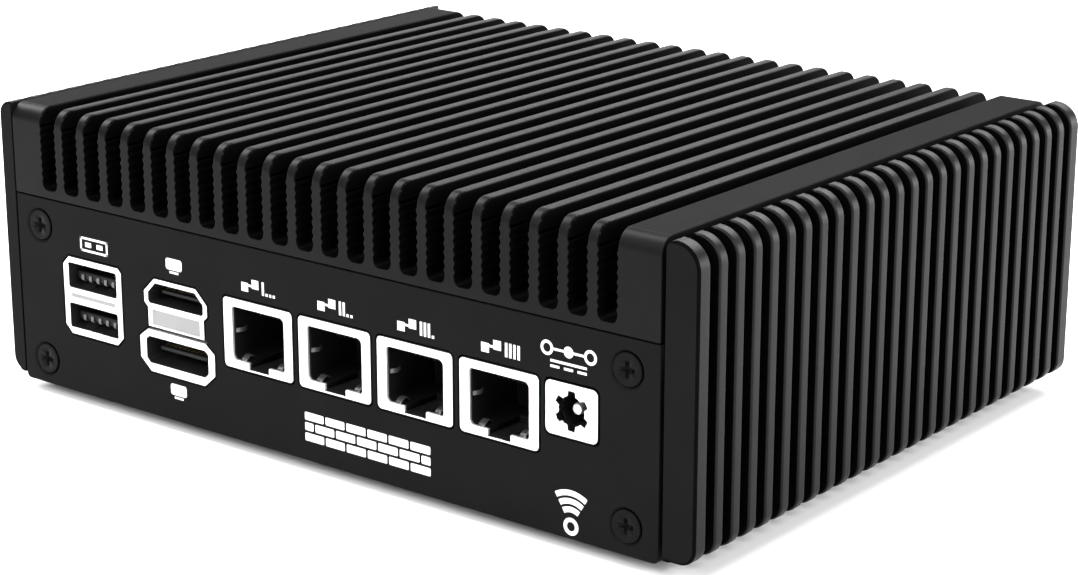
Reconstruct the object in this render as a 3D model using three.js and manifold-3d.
// Fanless network firewall appliance: a finned aluminium case around a small mainboard.
// Units are millimetres, +Z is up, and the port side faces -Y.
import * as THREE from "three";
import { mergeVertices } from "three/addons/utils/BufferGeometryUtils.js";
import Module from "manifold-3d";

// ---------------------------------------------------------------- driving dimensions
// The case frame runs x from the left flank, y from the front face and z from the case's underside.
const CASE_WIDTH = 157;
const CASE_DEPTH = 120.5;
const CASE_HEIGHT = 52.8;
const FOOT_HEIGHT = 2;
const REAR_PROUD = 1.1; // how far the rear antenna plugs stand out
const GAP = 0.3; // clearance between neighbouring pieces
const SMALL_ROUND = 12; // sides of small, middling and large round shapes
const MIDDLING_ROUND = 16;
const LARGE_ROUND = 20;

const LEFT_FLANK_WIDTH = 3.2;
const RIGHT_FLANK_WIDTH = 6.1;
const RIGHT_SEAM = 0.85;
const PANEL_LEFT = LEFT_FLANK_WIDTH + GAP;
const PANEL_RIGHT = CASE_WIDTH - RIGHT_FLANK_WIDTH - RIGHT_SEAM;
const PANEL_HEIGHT = 35.9;
const PANEL_THICK = 2.4;

const TOP_SLOTS = 23;
const TOP_PITCH = 5.774;
const TOP_SLOT_WIDTH = 3.66;
const TOP_SLOT_START = 11.06;
const TOP_SLOT_FLOOR = 37.7;
const TOP_UNDERSIDE = PANEL_HEIGHT + GAP;
const FIN_END_RADIUS = 3.1;

const SIDE_GROOVES = 25;
const SIDE_PITCH = 4.664;
const SIDE_GROOVE_WIDTH = 2.37;
const SIDE_BOTTOM = 1;
const RIGHT_GROOVE_DEPTH = 5.3;
const LEFT_GROOVE_DEPTH = 2.3;
const SIDE_TOP_RADIUS = 4.4;
const SIDE_BOTTOM_RADIUS = 3;
const LEFT_TOP_RADIUS = 2.4;
const CHANNEL_TO_WALL = 3.5; // from a screw channel's axis out to the wall's inner face
const CHANNEL_TO_BOSS = 4.9; // and in to the boss's inner face
const BOSS_HALF_HEIGHT = 5.2;

const COVER_THICK = 1.6;
const SCREW_LEFT = 9.47;
const SCREW_RIGHT = 143.77;
const SCREW_LOW = 4.86;
const SCREW_HIGH = 30.7;
const SCREW_LENGTH = 9;
const SCREW_HEAD_RADIUS = 2.8;
const SCREW_SHANK_RADIUS = 1.35;
const SCREW_HEAD_DEPTH = 1.5;
const BOTTOM_SCREW_INSET = 20;
const FOOT_RADIUS = 6;
const FOOT_INSET = 22;

const BOARD_BOTTOM = 26.4;
const BOARD_THICK = 1.6;
const BOARD_TOP = BOARD_BOTTOM + BOARD_THICK;
const BOARD_LEFT = 14.8;
const BOARD_RIGHT = 138.6;
const BOARD_FRONT = 4;
const BOARD_BACK = 116.5;
const BOARD_HOLES = [
  ["front_left", 19.3, 24],
  ["front_right", 134, 24],
  ["rear_left", 19.3, 98],
  ["rear_right", 134, 98],
];
const PORT_TOP = BOARD_BOTTOM - GAP; // connectors hang under the board

const JACKS = 4;
const JACK_LEFT = 56.42;
const JACK_PITCH = 17.88;
const JACK_WIDTH = 16.5;
const JACK_BOTTOM = 13.25;
const JACK_DEPTH = 15.5;
const JACK_RIM = 2.1; // beside the mouth
const JACK_LIP = 1.6; // above and below it
const JACK_SKIN = 0.5;
const LATCH_WIDTH = 4.7;
const LATCH_DEPTH = 1.2;

const USB_LEFT = 15.3;
const USB_WIDTH = 15.4;
const USB_BOTTOM = 11.3;
const USB_DEPTH = 17;
const USB_MOUTH_WIDTH = 12.6;
const USB_MOUTH_HEIGHT = 4.6;
const USB_MOUTH_LIFTS = [1.3, 9];
const USB_TONGUE_LIFT = 1.2;
const USB_TONGUE_THICK = 1.7;
const TONGUE_SETBACK = 1.6; // how far behind the face every tongue starts

const VIDEO_CENTRE = 44.5;
const VIDEO_DEPTH = 15;
const DC_LEFT = 127.8;
const DC_WIDTH = 10.5;
const DC_BOTTOM = 17;
const DC_BORE_RADIUS = 3;
const DC_PIN_RADIUS = 1;

const BUTTON_X = 32;
const BUTTON_Z = 18.5;
const BUTTON_RADIUS = 4.6;
const BUTTON_PROUD = 0.8;
const LAMP_XS = [46, 52];
const LAMP_Z = 22.6;
const LAMP_RADIUS = 1.4;
const USB2_LEFT = 66;
const ANTENNA_XS = [104, 128];
const ANTENNA_Z = 18.5;
const ANTENNA_HOLE_RADIUS = 3.2;

// ---------------------------------------------------------------- materials
const material = (color, roughness, metalness) =>
  new THREE.MeshStandardMaterial({ color, roughness, metalness });
const BLACK_ALUMINIUM = material(0x2b2b2c, 0.45, 0.6);
const PANEL_METAL = material(0x262627, 0.5, 0.5);
const BLACK_STEEL = material(0x1c1c1d, 0.4, 0.8);
const SHELL_STEEL = material(0xd9dadb, 0.3, 0.9);
const BARE_ALUMINIUM = material(0xb8babd, 0.35, 0.9);
const BRASS = material(0xc9a54e, 0.35, 0.9);
const BLACK_PLASTIC = material(0x131314, 0.5, 0);
const CREAM_PLASTIC = material(0xe9e7dc, 0.45, 0);
const CLEAR_PLASTIC = material(0xdfe8ea, 0.15, 0);
const RUBBER = material(0x1a1a1a, 0.9, 0);
const GREEN_BOARD = material(0x17402a, 0.55, 0);
const CHIP = material(0x35373a, 0.4, 0.2);

// ---------------------------------------------------------------- solids
const wasm = await Module();
wasm.setup();

function solid(geometry) {
  const bare = geometry.index ? geometry.toNonIndexed() : geometry.clone();
  bare.deleteAttribute("normal");
  bare.deleteAttribute("uv");
  const merged = mergeVertices(bare);
  return new wasm.Manifold(
    new wasm.Mesh({
      numProp: 3,
      vertProperties: merged.attributes.position.array,
      triVerts: new Uint32Array(merged.index.array),
    }),
  );
}

function geometryOf(body) {
  const mesh = body.getMesh();
  const geometry = new THREE.BufferGeometry();
  geometry.setAttribute("position", new THREE.BufferAttribute(mesh.vertProperties, 3));
  geometry.setIndex(new THREE.BufferAttribute(mesh.triVerts, 1));
  geometry.computeVertexNormals();
  return geometry;
}

const join = (first, ...others) =>
  geometryOf(others.reduce((sum, other) => sum.add(solid(other)), solid(first)));
const cut = (first, ...tools) =>
  geometryOf(tools.reduce((rest, tool) => rest.subtract(solid(tool)), solid(first)));
const overlapOf = (first, second) => geometryOf(solid(first).intersect(solid(second)));

// A block between two corners.
function block(x0, x1, y0, y1, z0, z1) {
  const geometry = new THREE.BoxGeometry(x1 - x0, y1 - y0, z1 - z0);
  return geometry.translate((x0 + x1) / 2, (y0 + y1) / 2, (z0 + z1) / 2);
}

// Extrusions: alongY takes an outline in x and z, alongX one in y and z.
const FINE_ARC = 4;
function extrude(outline, length, arcSteps = 2) {
  const points = Array.isArray(outline) ? outline.map(([a, b]) => new THREE.Vector2(a, b)) : null;
  const shape = points ? new THREE.Shape(points) : outline;
  return new THREE.ExtrudeGeometry(shape, { depth: length, bevelEnabled: false, curveSegments: arcSteps });
}
const alongY = (shape, y0, y1, arcSteps) =>
  extrude(shape, y1 - y0, arcSteps)
    .rotateX(Math.PI / 2)
    .translate(0, y1, 0);
function alongX(shape, x0, x1, arcSteps) {
  const turn = new THREE.Matrix4().makeBasis(
    new THREE.Vector3(0, 1, 0),
    new THREE.Vector3(0, 0, 1),
    new THREE.Vector3(1, 0, 0),
  );
  return extrude(shape, x1 - x0, arcSteps).applyMatrix4(turn).translate(x0, 0, 0);
}

// A rectangle whose corners, from the lower left round to the upper left, have their own radii.
function roundedRectangle(x0, x1, z0, z1, radii) {
  const [lowLeft, lowRight, highRight, highLeft] = Array.isArray(radii) ? radii : [radii, radii, radii, radii];
  const shape = new THREE.Shape();
  shape.moveTo(x0 + lowLeft, z0);
  shape.lineTo(x1 - lowRight, z0);
  if (lowRight) shape.absarc(x1 - lowRight, z0 + lowRight, lowRight, -Math.PI / 2, 0);
  shape.lineTo(x1, z1 - highRight);
  if (highRight) shape.absarc(x1 - highRight, z1 - highRight, highRight, 0, Math.PI / 2);
  shape.lineTo(x0 + highLeft, z1);
  if (highLeft) shape.absarc(x0 + highLeft, z1 - highLeft, highLeft, Math.PI / 2, Math.PI);
  shape.lineTo(x0, z0 + lowLeft);
  if (lowLeft) shape.absarc(x0 + lowLeft, z0 + lowLeft, lowLeft, Math.PI, Math.PI * 1.5);
  return shape;
}

// An upright cylinder.
function disc(x, y, radius, z0, z1, sides) {
  return new THREE.CylinderGeometry(radius, radius, z1 - z0, sides)
    .rotateX(Math.PI / 2)
    .translate(x, y, (z0 + z1) / 2);
}

// A turned piece: its profile lists [distance along the axis, radius], and the axis points along +Y.
const turned = (profile, sides) =>
  new THREE.LatheGeometry(
    profile.map(([along, radius]) => new THREE.Vector2(radius, along)),
    sides,
  );
const uprightTurned = (profile, sides) => turned(profile, sides).rotateX(Math.PI / 2);

// ---------------------------------------------------------------- the assembly
const caseFrame = new THREE.Group();
caseFrame.position.set(-CASE_WIDTH / 2, -(CASE_DEPTH + REAR_PROUD) / 2, FOOT_HEIGHT);

function add(name, geometry, finish, x = 0, y = 0, z = 0) {
  const mesh = new THREE.Mesh(geometry, finish);
  mesh.name = name;
  mesh.position.set(x, y, z);
  caseFrame.add(mesh);
  return mesh;
}

// ---------------------------------------------------------------- top heatsink
// One extrusion: a base plate with 22 fins and two wide rims, every end rounded at the top,
// and two ribs under it that locate it between the flanks.
function topHeatsink() {
  const slotBevel = 0.6;
  const slots = [];
  for (let i = 0; i < TOP_SLOTS; i++) {
    const left = TOP_SLOT_START + i * TOP_PITCH;
    const right = left + TOP_SLOT_WIDTH;
    const outline = [
      [left + slotBevel, TOP_SLOT_FLOOR],
      [right - slotBevel, TOP_SLOT_FLOOR],
      [right, TOP_SLOT_FLOOR + slotBevel],
      [right, CASE_HEIGHT + 1],
      [left, CASE_HEIGHT + 1],
      [left, TOP_SLOT_FLOOR + slotBevel],
    ];
    slots.push(alongY(outline, -1, CASE_DEPTH + 1));
  }
  const ribDrop = 3;
  const ribWidth = 1.2;
  const sideView = roundedRectangle(0, CASE_DEPTH, TOP_UNDERSIDE - ribDrop, CASE_HEIGHT, [
    0,
    0,
    FIN_END_RADIUS,
    FIN_END_RADIUS,
  ]);
  const inset = PANEL_THICK + GAP;
  const rib = (left) =>
    block(left, left + ribWidth, inset, CASE_DEPTH - inset, TOP_UNDERSIDE - ribDrop, TOP_UNDERSIDE + GAP);
  const bar = join(
    block(PANEL_LEFT, PANEL_RIGHT, -1, CASE_DEPTH + 1, TOP_UNDERSIDE, CASE_HEIGHT),
    rib(BOARD_LEFT),
    rib(BOARD_RIGHT - ribWidth),
  );
  return overlapOf(cut(bar, ...slots), alongX(sideView, 0, CASE_WIDTH, FINE_ARC));
}
add("top_heatsink", topHeatsink(), BLACK_ALUMINIUM);

// ---------------------------------------------------------------- side heatsinks
// Each flank is an upright comb outside and a wall with two screw bosses behind the panels.
// It is drawn with x measured inwards from its own outer plane; the right one is mirrored.
function sideHeatsink({ width, grooveDepth, topRadius, innerTopRadius, screwInset }) {
  const bottomRadius = Math.min(SIDE_BOTTOM_RADIUS, width - GAP);
  const outline = roundedRectangle(0, width, SIDE_BOTTOM, CASE_HEIGHT, [
    bottomRadius,
    0,
    innerTopRadius,
    topRadius,
  ]);
  const wallInside = screwInset - CHANNEL_TO_WALL;
  const bossInside = screwInset + CHANNEL_TO_BOSS;
  const root = width - 1; // the wall starts inside the comb, so that the two join
  const wallBottom = COVER_THICK + GAP;
  const wallTop = PANEL_HEIGHT - GAP;
  const wall = [
    [root, wallBottom],
    [bossInside, wallBottom],
    [bossInside, SCREW_LOW + BOSS_HALF_HEIGHT],
    [wallInside, SCREW_LOW + BOSS_HALF_HEIGHT],
    [wallInside, SCREW_HIGH - BOSS_HALF_HEIGHT],
    [bossInside, SCREW_HIGH - BOSS_HALF_HEIGHT],
    [bossInside, wallTop],
    [root, wallTop],
  ];
  const inset = PANEL_THICK + GAP;
  const comb = alongY(outline, 0, CASE_DEPTH, FINE_ARC);
  const body = join(comb, alongY(wall, inset, CASE_DEPTH - inset));
  const grooves = [];
  const firstGroove = (CASE_DEPTH - (SIDE_GROOVES - 1) * SIDE_PITCH - SIDE_GROOVE_WIDTH) / 2;
  for (let i = 0; i < SIDE_GROOVES; i++) {
    const front = firstGroove + i * SIDE_PITCH;
    grooves.push(block(-1, grooveDepth, front, front + SIDE_GROOVE_WIDTH, -1, CASE_HEIGHT + 1));
  }
  const bore = SCREW_SHANK_RADIUS + GAP;
  const channels = [SCREW_LOW, SCREW_HIGH].map((height) =>
    new THREE.CylinderGeometry(bore, bore, CASE_DEPTH + 2, SMALL_ROUND).translate(screwInset, CASE_DEPTH / 2, height),
  );
  const coverHoles = [BOTTOM_SCREW_INSET, CASE_DEPTH - BOTTOM_SCREW_INSET].map((y) =>
    disc(screwInset, y, bore, 0, SCREW_LENGTH + GAP, SMALL_ROUND),
  );
  return cut(body, ...grooves, ...channels, ...coverHoles);
}

// The mirror image about the plane x = 0, with the triangles turned back to face outwards.
function mirrored(geometry) {
  const flipped = geometry.clone().scale(-1, 1, 1);
  const index = flipped.index.array;
  for (let i = 0; i < index.length; i += 3) {
    const second = index[i + 1];
    index[i + 1] = index[i + 2];
    index[i + 2] = second;
  }
  return flipped;
}
const leftFlank = {
  width: LEFT_FLANK_WIDTH,
  grooveDepth: LEFT_GROOVE_DEPTH,
  topRadius: LEFT_TOP_RADIUS,
  innerTopRadius: 0,
  screwInset: SCREW_LEFT,
};
const rightFlank = {
  width: RIGHT_FLANK_WIDTH,
  grooveDepth: RIGHT_GROOVE_DEPTH,
  topRadius: SIDE_TOP_RADIUS,
  innerTopRadius: 1.6,
  screwInset: CASE_WIDTH - SCREW_RIGHT,
};
add("left_side_heatsink", sideHeatsink(leftFlank), BLACK_ALUMINIUM);
add("right_side_heatsink", mirrored(sideHeatsink(rightFlank)), BLACK_ALUMINIUM, CASE_WIDTH);

// ---------------------------------------------------------------- connector outlines
// Each outline is [x, z] points or a shape, grown outwards by `grow` for the panel's cut-out.
const jackLeft = (i) => JACK_LEFT + i * JACK_PITCH;
const jackOutline = (i, grow) =>
  roundedRectangle(jackLeft(i) - grow, jackLeft(i) + JACK_WIDTH + grow, JACK_BOTTOM - grow, PORT_TOP + grow, 0.9);
const dcOutline = (grow) =>
  roundedRectangle(DC_LEFT - grow, DC_LEFT + DC_WIDTH + grow, DC_BOTTOM - grow, PORT_TOP + grow, 1);

function usbOutline(left, grow) {
  const low = USB_BOTTOM - grow;
  const high = PORT_TOP + grow;
  const bevel = 1.6;
  const right = left + USB_WIDTH + grow;
  const start = left - grow;
  return [
    [start + bevel, low],
    [right - bevel, low],
    [right, low + bevel],
    [right, high - bevel / 2],
    [right - bevel / 2, high],
    [start + bevel, high],
    [start, high - bevel],
    [start, low + bevel],
  ];
}

// A symmetric outline about the video stack's centre line, from its right half.
const symmetricOutline = (half) => [
  ...half.map(([dx, z]) => [VIDEO_CENTRE + dx, z]),
  ...half.toReversed().map(([dx, z]) => [VIDEO_CENTRE - dx, z]),
];
const hdmiOutline = (grow) =>
  symmetricOutline([
    [7 + grow, 20.4 - grow],
    [7.9 + grow, 21.2 - grow],
    [7.9 + grow, 23.3],
    [5.2 + grow, 25.9 + grow],
  ]);
const displayOutline = (grow) =>
  symmetricOutline([
    [6.8 + grow, 8.3 - grow],
    [9.4 + grow, 10.6 - grow],
    [9.4 + grow, 14.6 + grow],
    [7 + grow, 16.4 + grow],
  ]);
const bridgeOutline = (grow) =>
  symmetricOutline([
    [7 + grow, 16.2],
    [7 + grow, 20.6],
  ]);

// ---------------------------------------------------------------- front and rear panels
const SCREW_SPOTS = [
  ["low_left", SCREW_LEFT, SCREW_LOW],
  ["high_left", SCREW_LEFT, SCREW_HIGH],
  ["low_right", SCREW_RIGHT, SCREW_LOW],
  ["high_right", SCREW_RIGHT, SCREW_HIGH],
];

// A countersunk clearance hole, with its wide mouth at y = 0.
const countersink = () =>
  turned(
    [
      [-1, 0],
      [-1, SCREW_HEAD_RADIUS + 2 * GAP],
      [GAP, SCREW_HEAD_RADIUS + GAP],
      [SCREW_HEAD_DEPTH + GAP, SCREW_SHANK_RADIUS + GAP],
      [PANEL_THICK + 1, SCREW_SHANK_RADIUS + GAP],
      [PANEL_THICK + 1, 0],
    ],
    SMALL_ROUND,
  );
const panelPlate = () =>
  alongY(roundedRectangle(PANEL_LEFT, PANEL_RIGHT, 0, PANEL_HEIGHT, [1, 1, 0, 0]), 0, PANEL_THICK);
const through = (outline) => alongY(outline, -1, PANEL_THICK + 1);

function frontPanel() {
  const holes = SCREW_SPOTS.map(([, x, z]) => countersink().translate(x, 0, z));
  for (let i = 0; i < JACKS; i++) holes.push(through(jackOutline(i, GAP)));
  holes.push(through(usbOutline(USB_LEFT, GAP)), through(dcOutline(GAP)));
  holes.push(through(hdmiOutline(GAP)), through(bridgeOutline(GAP)), through(displayOutline(GAP)));
  return cut(panelPlate(), ...holes);
}
add("front_panel", frontPanel(), PANEL_METAL);

// The rear panel is drawn in place, its outer face at y = CASE_DEPTH.
function rearPanel() {
  const inside = CASE_DEPTH - PANEL_THICK;
  const bore = (x, z, radius, sides) =>
    new THREE.CylinderGeometry(radius, radius, PANEL_THICK + 2, sides).translate(x, CASE_DEPTH - PANEL_THICK / 2, z);
  const holes = SCREW_SPOTS.map(([, x, z]) => countersink().rotateZ(Math.PI).translate(x, CASE_DEPTH, z));
  holes.push(bore(BUTTON_X, BUTTON_Z, BUTTON_RADIUS + GAP, LARGE_ROUND));
  for (const x of LAMP_XS) holes.push(bore(x, LAMP_Z, LAMP_RADIUS + GAP, SMALL_ROUND));
  for (const x of ANTENNA_XS) holes.push(bore(x, ANTENNA_Z, ANTENNA_HOLE_RADIUS, MIDDLING_ROUND));
  holes.push(through(usbOutline(0, GAP)).rotateZ(Math.PI).translate(USB2_LEFT + USB_WIDTH, CASE_DEPTH, 0));
  return cut(panelPlate().translate(0, inside, 0), ...holes);
}
add("rear_panel", rearPanel(), PANEL_METAL);

// ---------------------------------------------------------------- screws
// Countersunk cross-recess screw: head face at y = 0, shank towards +Y.
function countersunkScrew() {
  const body = turned(
    [
      [0, 0],
      [0, SCREW_HEAD_RADIUS],
      [0.25, SCREW_HEAD_RADIUS],
      [SCREW_HEAD_DEPTH, SCREW_SHANK_RADIUS],
      [SCREW_LENGTH - 0.6, SCREW_SHANK_RADIUS],
      [SCREW_LENGTH, 0.7],
      [SCREW_LENGTH, 0],
    ],
    SMALL_ROUND,
  );
  const recess = 1.5;
  const armWidth = 0.32;
  return cut(
    body,
    block(-recess, recess, -1, 0.9, -armWidth, armWidth),
    block(-armWidth, armWidth, -1, 0.9, -recess, recess),
  );
}
const screwGeometry = countersunkScrew();
const screwSink = 0.05; // heads sit just below the panel face
for (const [place, x, z] of SCREW_SPOTS) {
  add("front_screw_" + place, screwGeometry, BLACK_STEEL, x, screwSink, z);
  add("rear_screw_" + place, screwGeometry, BLACK_STEEL, x, CASE_DEPTH - screwSink, z).rotation.z = Math.PI;
}

// ---------------------------------------------------------------- bottom cover, its screws and the feet
const COVER_CORNERS = [];
for (const [side, screwX, footX] of [
  ["left", SCREW_LEFT, FOOT_INSET],
  ["right", SCREW_RIGHT, CASE_WIDTH - FOOT_INSET],
]) {
  COVER_CORNERS.push(["front_" + side, screwX, BOTTOM_SCREW_INSET, footX, FOOT_INSET]);
  COVER_CORNERS.push([
    "rear_" + side,
    screwX,
    CASE_DEPTH - BOTTOM_SCREW_INSET,
    footX,
    CASE_DEPTH - FOOT_INSET,
  ]);
}

function bottomCover() {
  const edge = PANEL_THICK + GAP;
  const plate = block(PANEL_LEFT, PANEL_RIGHT, edge, CASE_DEPTH - edge, 0, COVER_THICK);
  const holes = COVER_CORNERS.map(([, x, y]) => countersink().rotateX(Math.PI / 2).translate(x, y, 0));
  return cut(plate, ...holes);
}
add("bottom_cover", bottomCover(), PANEL_METAL);

const footGeometry = uprightTurned(
  [
    [-FOOT_HEIGHT, 0],
    [-FOOT_HEIGHT, FOOT_RADIUS - 0.9],
    [-FOOT_HEIGHT + 0.4, FOOT_RADIUS - 0.4],
    [-GAP, FOOT_RADIUS],
    [-GAP, 0],
  ],
  LARGE_ROUND,
);
for (const [place, screwX, screwY, footX, footY] of COVER_CORNERS) {
  add("bottom_screw_" + place, screwGeometry, BLACK_STEEL, screwX, screwY, screwSink).rotation.x = Math.PI / 2;
  add("foot_" + place, footGeometry, RUBBER, footX, footY, 0);
}

// ---------------------------------------------------------------- mainboard and its mounting
const boardScrewHole = SCREW_SHANK_RADIUS + GAP;
add(
  "mainboard",
  cut(
    block(BOARD_LEFT, BOARD_RIGHT, BOARD_FRONT, BOARD_BACK, BOARD_BOTTOM, BOARD_TOP),
    ...BOARD_HOLES.map(([, x, y]) => disc(x, y, boardScrewHole, BOARD_BOTTOM - 1, BOARD_TOP + 1, SMALL_ROUND)),
  ),
  GREEN_BOARD,
);

const STANDOFF_TOP = TOP_UNDERSIDE - GAP;
const standoffGeometry = cut(
  disc(0, 0, 3, BOARD_TOP + GAP, STANDOFF_TOP, 6),
  disc(0, 0, boardScrewHole, BOARD_TOP, STANDOFF_TOP + 1, SMALL_ROUND),
);
const boardScrewGeometry = uprightTurned(
  [
    [BOARD_BOTTOM - GAP - 1.8, 0],
    [BOARD_BOTTOM - GAP - 1.8, 2],
    [BOARD_BOTTOM - GAP - 1.2, 2.7],
    [BOARD_BOTTOM - GAP, 2.7],
    [BOARD_BOTTOM - GAP, SCREW_SHANK_RADIUS],
    [STANDOFF_TOP - 1, SCREW_SHANK_RADIUS],
    [STANDOFF_TOP - 1, 0],
  ],
  SMALL_ROUND,
);
for (const [place, x, y] of BOARD_HOLES) {
  add("standoff_" + place, standoffGeometry, BRASS, x, y, 0);
  add("board_screw_" + place, boardScrewGeometry, SHELL_STEEL, x, y, 0);
}

// The processor sits on top of the board and hands its heat to the top heatsink through a block.
const CPU_X = 78;
const CPU_Y = 60;
const CPU_TOP = BOARD_TOP + GAP + 1.3;
add(
  "cpu_package",
  join(
    block(CPU_X - 14, CPU_X + 14, CPU_Y - 12, CPU_Y + 12, BOARD_TOP + GAP, CPU_TOP - 0.5),
    block(CPU_X - 5, CPU_X + 5, CPU_Y - 4, CPU_Y + 4, CPU_TOP - 1, CPU_TOP),
  ),
  CHIP,
);
add(
  "heat_block",
  join(
    block(CPU_X - 22, CPU_X + 22, CPU_Y - 20, CPU_Y + 20, CPU_TOP + GAP + 1.5, STANDOFF_TOP),
    block(CPU_X - 16, CPU_X + 16, CPU_Y - 14, CPU_Y + 14, CPU_TOP + GAP, CPU_TOP + GAP + 2),
  ),
  BARE_ALUMINIUM,
);

// ---------------------------------------------------------------- network jacks
// The plug's mouth with the latch slot under it, as the jack's right half about its middle.
function jackMouth(middle, shrink) {
  const half = JACK_WIDTH / 2 - JACK_RIM - shrink;
  const floor = JACK_BOTTOM + JACK_LIP + shrink;
  const latch = LATCH_WIDTH / 2 - shrink;
  const right = [
    [latch, floor - LATCH_DEPTH],
    [latch, floor],
    [half, floor],
    [half, PORT_TOP - JACK_LIP - shrink],
  ];
  return [
    ...right.map(([dx, z]) => [middle + dx, z]),
    ...right.toReversed().map(([dx, z]) => [middle - dx, z]),
  ];
}
for (let i = 0; i < JACKS; i++) {
  const left = jackLeft(i);
  const right = left + JACK_WIDTH;
  const middle = left + JACK_WIDTH / 2;
  const skin = JACK_SKIN;
  const fit = skin + GAP;
  add(
    "rj45_shield_" + (i + 1),
    cut(
      alongY(jackOutline(i, 0), 0, JACK_DEPTH),
      alongY(jackMouth(middle, 0), -1, JACK_DEPTH),
      block(left + skin, right - skin, skin, JACK_DEPTH + 1, JACK_BOTTOM + skin, PORT_TOP - skin),
    ),
    SHELL_STEEL,
  );
  const housing = block(left + fit, right - fit, fit, JACK_DEPTH - GAP, JACK_BOTTOM + fit, PORT_TOP - fit);
  add(
    "rj45_housing_" + (i + 1),
    cut(housing, alongY(jackMouth(middle, -0.05), -1, JACK_DEPTH - 3)),
    BLACK_PLASTIC,
  );
}

// ---------------------------------------------------------------- stacked USB sockets
// One steel shell with two mouths, and one plastic insulator whose two tongues reach into them.
// Both are drawn with the mouths towards -Y; `turnRound` faces them to the rear.
function usbShell() {
  const middle = USB_WIDTH / 2;
  const half = USB_MOUTH_WIDTH / 2;
  const mouths = USB_MOUTH_LIFTS.map((lift) =>
    block(
      middle - half,
      middle + half,
      -1,
      USB_DEPTH - 3,
      USB_BOTTOM + lift,
      USB_BOTTOM + lift + USB_MOUTH_HEIGHT,
    ),
  );
  const [lowLift, highLift] = USB_MOUTH_LIFTS;
  const pocket = block(
    middle - half,
    middle + half,
    USB_DEPTH - 4,
    USB_DEPTH + 1,
    USB_BOTTOM + lowLift,
    USB_BOTTOM + highLift + USB_MOUTH_HEIGHT,
  );
  return cut(alongY(usbOutline(0, 0), 0, USB_DEPTH), ...mouths, pocket);
}

function usbInsulator() {
  const middle = USB_WIDTH / 2;
  const half = USB_MOUTH_WIDTH / 2 - GAP;
  const [lowLift, highLift] = USB_MOUTH_LIFTS;
  const tongueHalf = half - 0.5;
  const backFront = USB_DEPTH - 4 + GAP;
  const back = block(
    middle - half,
    middle + half,
    backFront,
    USB_DEPTH - GAP,
    USB_BOTTOM + lowLift + GAP,
    USB_BOTTOM + highLift + USB_MOUTH_HEIGHT - GAP,
  );
  const tongues = USB_MOUTH_LIFTS.map((lift) =>
    block(
      middle - tongueHalf,
      middle + tongueHalf,
      TONGUE_SETBACK,
      backFront + 1,
      USB_BOTTOM + lift + USB_TONGUE_LIFT,
      USB_BOTTOM + lift + USB_TONGUE_LIFT + USB_TONGUE_THICK,
    ),
  );
  return join(back, ...tongues);
}
add("usb3_shell", usbShell(), SHELL_STEEL, USB_LEFT);
add("usb3_insulator", usbInsulator(), BLACK_PLASTIC, USB_LEFT);
const usb2Shell = add("usb2_shell", usbShell(), SHELL_STEEL, USB2_LEFT + USB_WIDTH, CASE_DEPTH);
const usb2Insulator = add("usb2_insulator", usbInsulator(), BLACK_PLASTIC, USB2_LEFT + USB_WIDTH, CASE_DEPTH);
for (const mesh of [usb2Shell, usb2Insulator]) mesh.rotation.z = Math.PI;

// ---------------------------------------------------------------- stacked video sockets
// One shell carries the upper and the lower socket, joined by a plain bridge between them.
const hdmiMouth = (shrink) =>
  symmetricOutline([
    [6.5 - shrink, 21.2 + shrink],
    [6.9 - shrink, 21.6 + shrink],
    [6.9 - shrink, 23.2],
    [5 - shrink, 25.1 - shrink],
  ]);
const displayMouth = (shrink) =>
  symmetricOutline([
    [6.9 - shrink, 9.9 + shrink],
    [7.8 - shrink, 10.7 + shrink],
    [7.8 - shrink, 14.3 - shrink],
    [7 - shrink, 14.9 - shrink],
  ]);
const bridgeStep = 0.3; // the bridge sits back from the sockets' faces
add(
  "video_shell",
  cut(
    join(
      alongY(hdmiOutline(0), 0, VIDEO_DEPTH),
      alongY(displayOutline(0), 0, VIDEO_DEPTH),
      alongY(bridgeOutline(0), bridgeStep, VIDEO_DEPTH),
    ),
    alongY(hdmiMouth(0), -1, VIDEO_DEPTH + 1),
    alongY(displayMouth(0), -1, VIDEO_DEPTH + 1),
  ),
  SHELL_STEEL,
);

// A tongue that grows out of a plug filling the back of its socket.
function socketTongue(mouth, halfWidth, low, high) {
  const plugFront = VIDEO_DEPTH - 4;
  return join(
    alongY(mouth(GAP), plugFront, VIDEO_DEPTH - GAP),
    block(VIDEO_CENTRE - halfWidth, VIDEO_CENTRE + halfWidth, TONGUE_SETBACK, plugFront + 1, low, high),
  );
}
add("hdmi_tongue", socketTongue(hdmiMouth, 5, 22.7, 23.7), BLACK_PLASTIC);
add("displayport_tongue", socketTongue(displayMouth, 5.8, 12, 13.1), BLACK_PLASTIC);

// ---------------------------------------------------------------- DC power inlet
const DC_X = DC_LEFT + DC_WIDTH / 2;
const DC_Z = (DC_BOTTOM + PORT_TOP) / 2;
const DC_DEPTH = 14;
add(
  "dc_jack_housing",
  cut(
    alongY(dcOutline(0), 0, DC_DEPTH),
    new THREE.CylinderGeometry(DC_BORE_RADIUS, DC_BORE_RADIUS, 10, LARGE_ROUND).translate(DC_X, 4.5, DC_Z),
    new THREE.CylinderGeometry(DC_PIN_RADIUS + GAP, DC_PIN_RADIUS + GAP, DC_DEPTH, MIDDLING_ROUND).translate(
      DC_X,
      DC_DEPTH / 2 + 5,
      DC_Z,
    ),
  ),
  CREAM_PLASTIC,
);
add(
  "dc_jack_pin",
  turned(
    [
      [1.4, 0],
      [1.4, 0.55],
      [1.9, DC_PIN_RADIUS],
      [DC_DEPTH, DC_PIN_RADIUS],
      [DC_DEPTH, 0],
    ],
    MIDDLING_ROUND,
  ),
  SHELL_STEEL,
  DC_X,
  0,
  DC_Z,
);

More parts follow.
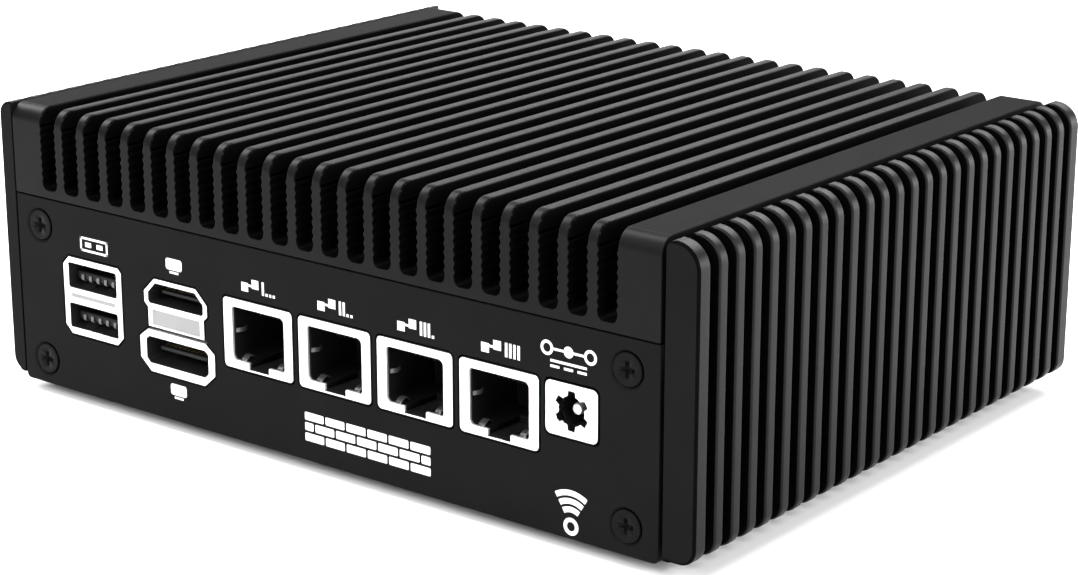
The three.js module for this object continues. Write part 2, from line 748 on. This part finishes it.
// ---------------------------------------------------------------- power button and its switch
// Pressing the cap moves it and the switch's plunger together towards the front.
const BUTTON_FACE = CASE_DEPTH + BUTTON_PROUD;
const FLANGE_BACK = CASE_DEPTH - PANEL_THICK - GAP;
const STEM_END = CASE_DEPTH - 9;
const PLUNGER_BACK = STEM_END - GAP;
const PLUNGER_LENGTH = 2.2;
const SWITCH_BACK = PLUNGER_BACK - 1.4;
add(
  "power_button",
  turned(
    [
      [STEM_END, 0],
      [STEM_END, 1.6],
      [FLANGE_BACK - 1.2, 1.6],
      [FLANGE_BACK - 1.2, BUTTON_RADIUS + 1.2],
      [FLANGE_BACK, BUTTON_RADIUS + 1.2],
      [FLANGE_BACK, BUTTON_RADIUS],
      [BUTTON_FACE - 0.4, BUTTON_RADIUS],
      [BUTTON_FACE, BUTTON_RADIUS - 0.5],
      [BUTTON_FACE - 0.3, BUTTON_RADIUS - 1.4],
      [BUTTON_FACE - 0.3, 0],
    ],
    LARGE_ROUND,
  ),
  BLACK_ALUMINIUM,
  BUTTON_X,
  0,
  BUTTON_Z,
);
add(
  "power_switch_plunger",
  turned(
    [
      [PLUNGER_BACK - PLUNGER_LENGTH, 0],
      [PLUNGER_BACK - PLUNGER_LENGTH, 1.3],
      [PLUNGER_BACK, 1.3],
      [PLUNGER_BACK, 0],
    ],
    MIDDLING_ROUND,
  ),
  BLACK_PLASTIC,
  BUTTON_X,
  0,
  BUTTON_Z,
);
const SWITCH_FRONT = SWITCH_BACK - 5;
add(
  "power_switch",
  cut(
    block(BUTTON_X - 3, BUTTON_X + 3, SWITCH_FRONT, SWITCH_BACK, BUTTON_Z - 3, PORT_TOP),
    new THREE.CylinderGeometry(1.6, 1.6, 6, MIDDLING_ROUND).translate(BUTTON_X, SWITCH_BACK, BUTTON_Z),
  ),
  BLACK_PLASTIC,
);

// ---------------------------------------------------------------- status lamps
// One clear light pipe carries both lamps from the board's edge to the rear panel.
const lampFace = CASE_DEPTH;
const lampBridge = CASE_DEPTH - 8;
const lampBars = LAMP_XS.map((x) =>
  new THREE.CylinderGeometry(LAMP_RADIUS, LAMP_RADIUS, lampFace - lampBridge, SMALL_ROUND).translate(
    x,
    (lampFace + lampBridge) / 2,
    LAMP_Z,
  ),
);
add(
  "led_light_pipe",
  join(
    block(LAMP_XS[0] - 2, LAMP_XS[1] + 2, lampBridge - 2, lampBridge + 0.5, LAMP_Z - 1.8, PORT_TOP),
    ...lampBars,
  ),
  CLEAR_PLASTIC,
);

// ---------------------------------------------------------------- antenna hole plugs
const plugGeometry = turned(
  [
    [CASE_DEPTH - PANEL_THICK - GAP - 1, 0],
    [CASE_DEPTH - PANEL_THICK - GAP - 1, 2.9],
    [CASE_DEPTH - PANEL_THICK - GAP, 3.7],
    [CASE_DEPTH - PANEL_THICK - GAP, 2.9],
    [CASE_DEPTH + GAP, 2.9],
    [CASE_DEPTH + GAP, 4.3],
    [CASE_DEPTH + REAR_PROUD - 0.3, 4.3],
    [CASE_DEPTH + REAR_PROUD, 3.9],
    [CASE_DEPTH + REAR_PROUD, 0],
  ],
  MIDDLING_ROUND,
);
add("antenna_plug_left", plugGeometry, RUBBER, ANTENNA_XS[0], 0, ANTENNA_Z);
add("antenna_plug_right", plugGeometry, RUBBER, ANTENNA_XS[1], 0, ANTENNA_Z);

// ---------------------------------------------------------------- memory and storage under the board
const MEMORY_LEFT = 48;
const MEMORY_LENGTH = 74;
const MEMORY_FRONT = 30;
const MEMORY_SOCKET_DEPTH = 7;
const MODULE_BOTTOM = 22;
const MODULE_THICK = 1.2;
const ARM_WIDTH = 2.4;
const ARM_LENGTH = 26;
const memoryBack = MEMORY_FRONT + MEMORY_SOCKET_DEPTH;
const memoryRight = MEMORY_LEFT + MEMORY_LENGTH;
const moduleLeft = MEMORY_LEFT + ARM_WIDTH + 0.8;
const moduleRight = memoryRight - ARM_WIDTH - 0.8;
add(
  "memory_socket",
  cut(
    join(
      block(MEMORY_LEFT, memoryRight, MEMORY_FRONT, memoryBack, 21, PORT_TOP),
      block(MEMORY_LEFT, MEMORY_LEFT + ARM_WIDTH, memoryBack - 1, memoryBack + ARM_LENGTH, 21.4, PORT_TOP),
      block(memoryRight - ARM_WIDTH, memoryRight, memoryBack - 1, memoryBack + ARM_LENGTH, 21.4, PORT_TOP),
    ),
    block(
      moduleLeft - GAP,
      moduleRight + GAP,
      memoryBack - 4,
      memoryBack + 1,
      MODULE_BOTTOM - GAP,
      MODULE_BOTTOM + MODULE_THICK + GAP,
    ),
  ),
  BLACK_PLASTIC,
);
const chipSpots = [0.14, 0.38, 0.62, 0.86];
add(
  "memory_module",
  join(
    block(
      moduleLeft,
      moduleRight,
      memoryBack - 4 + GAP,
      memoryBack + ARM_LENGTH,
      MODULE_BOTTOM,
      MODULE_BOTTOM + MODULE_THICK,
    ),
    ...chipSpots.map((share) => {
      const centre = moduleLeft + share * (moduleRight - moduleLeft);
      return block(centre - 5, centre + 5, memoryBack + 6, memoryBack + 18, MODULE_BOTTOM - 1, MODULE_BOTTOM + 0.5);
    }),
  ),
  GREEN_BOARD,
);

const SSD_LEFT = 23.5;
const SSD_WIDTH = 22;
const SSD_FRONT = 19;
const SSD_LENGTH = 80;
const SSD_BOTTOM = 23.6;
const ssdBack = SSD_FRONT + SSD_LENGTH;
add(
  "ssd_module",
  join(
    block(SSD_LEFT, SSD_LEFT + SSD_WIDTH, SSD_FRONT, ssdBack, SSD_BOTTOM, SSD_BOTTOM + 0.8),
    block(SSD_LEFT + 4, SSD_LEFT + 18, SSD_FRONT + 12, SSD_FRONT + 30, SSD_BOTTOM - 1.2, SSD_BOTTOM + 0.4),
    block(SSD_LEFT + 4, SSD_LEFT + 18, SSD_FRONT + 36, SSD_FRONT + 54, SSD_BOTTOM - 1.2, SSD_BOTTOM + 0.4),
    block(SSD_LEFT + 6, SSD_LEFT + 16, SSD_FRONT + 58, SSD_FRONT + 68, SSD_BOTTOM - 1.2, SSD_BOTTOM + 0.4),
  ),
  CHIP,
);
add(
  "ssd_socket",
  cut(
    block(SSD_LEFT - 1, SSD_LEFT + SSD_WIDTH + 1, ssdBack - 3.5, ssdBack + 3, SSD_BOTTOM - 1.4, PORT_TOP),
    block(SSD_LEFT - GAP, SSD_LEFT + SSD_WIDTH + GAP, ssdBack - 4.5, ssdBack + GAP, SSD_BOTTOM - GAP,
      SSD_BOTTOM + 0.8 + GAP),
  ),
  BLACK_PLASTIC,
);

export default caseFrame;
